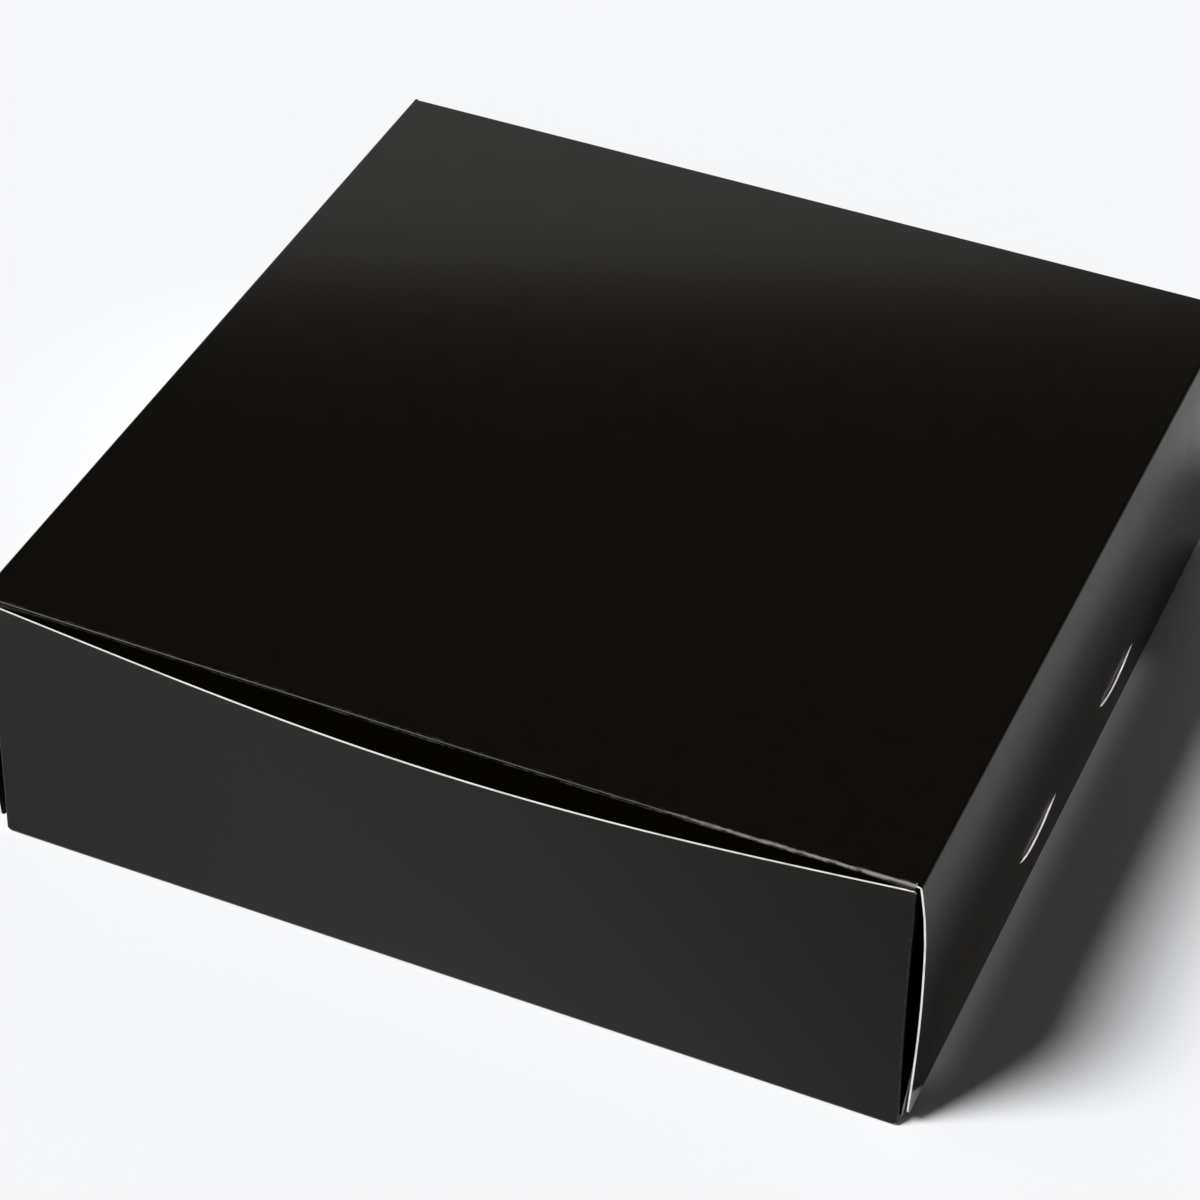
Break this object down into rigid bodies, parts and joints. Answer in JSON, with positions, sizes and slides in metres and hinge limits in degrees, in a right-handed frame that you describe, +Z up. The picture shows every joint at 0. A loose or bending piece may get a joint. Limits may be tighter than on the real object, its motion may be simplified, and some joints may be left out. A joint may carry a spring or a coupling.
{
  "type": "cake box",
  "caption": "Square shallow paperboard box for a cake, with a hinged lid whose front edge tucks in behind a bowed front wall and whose side flaps hang outside the side walls.",
  "frame": {"origin": "centre of the base, on its underside", "axes": "+X to the box's right as seen from its front, -Y towards the bowed front wall, +Z up"},
  "size_m": [0.3162, 0.3177, 0.0987],
  "materials": {
    "coated_board": "satin black coating on both sides, white board at the cut edges"
  },
  "bodies": {
    "tray": {"tray": "coated_board"},
    "lid": {"lid": "coated_board"},
    "left_flap": {"left_flap": "coated_board"},
    "right_flap": {"right_flap": "coated_board"}
  },
  "joints": [
    {"name": "lid_hinge", "type": "hinge", "parent": "tray", "child": "lid", "pos_m": [0, 0.1522, 0.0983], "axis": [-1, 0, 0], "range_deg": [0, 198]},
    {"name": "left_flap_hinge", "type": "hinge", "parent": "lid", "child": "left_flap", "pos_m": [-0.1522, 0, 0.0983], "axis": [0, 1, 0], "range_deg": [0, 90]},
    {"name": "right_flap_hinge", "type": "hinge", "parent": "lid", "child": "right_flap", "pos_m": [0.1522, 0, 0.0983], "axis": [0, -1, 0], "range_deg": [0, 90]}
  ]
}
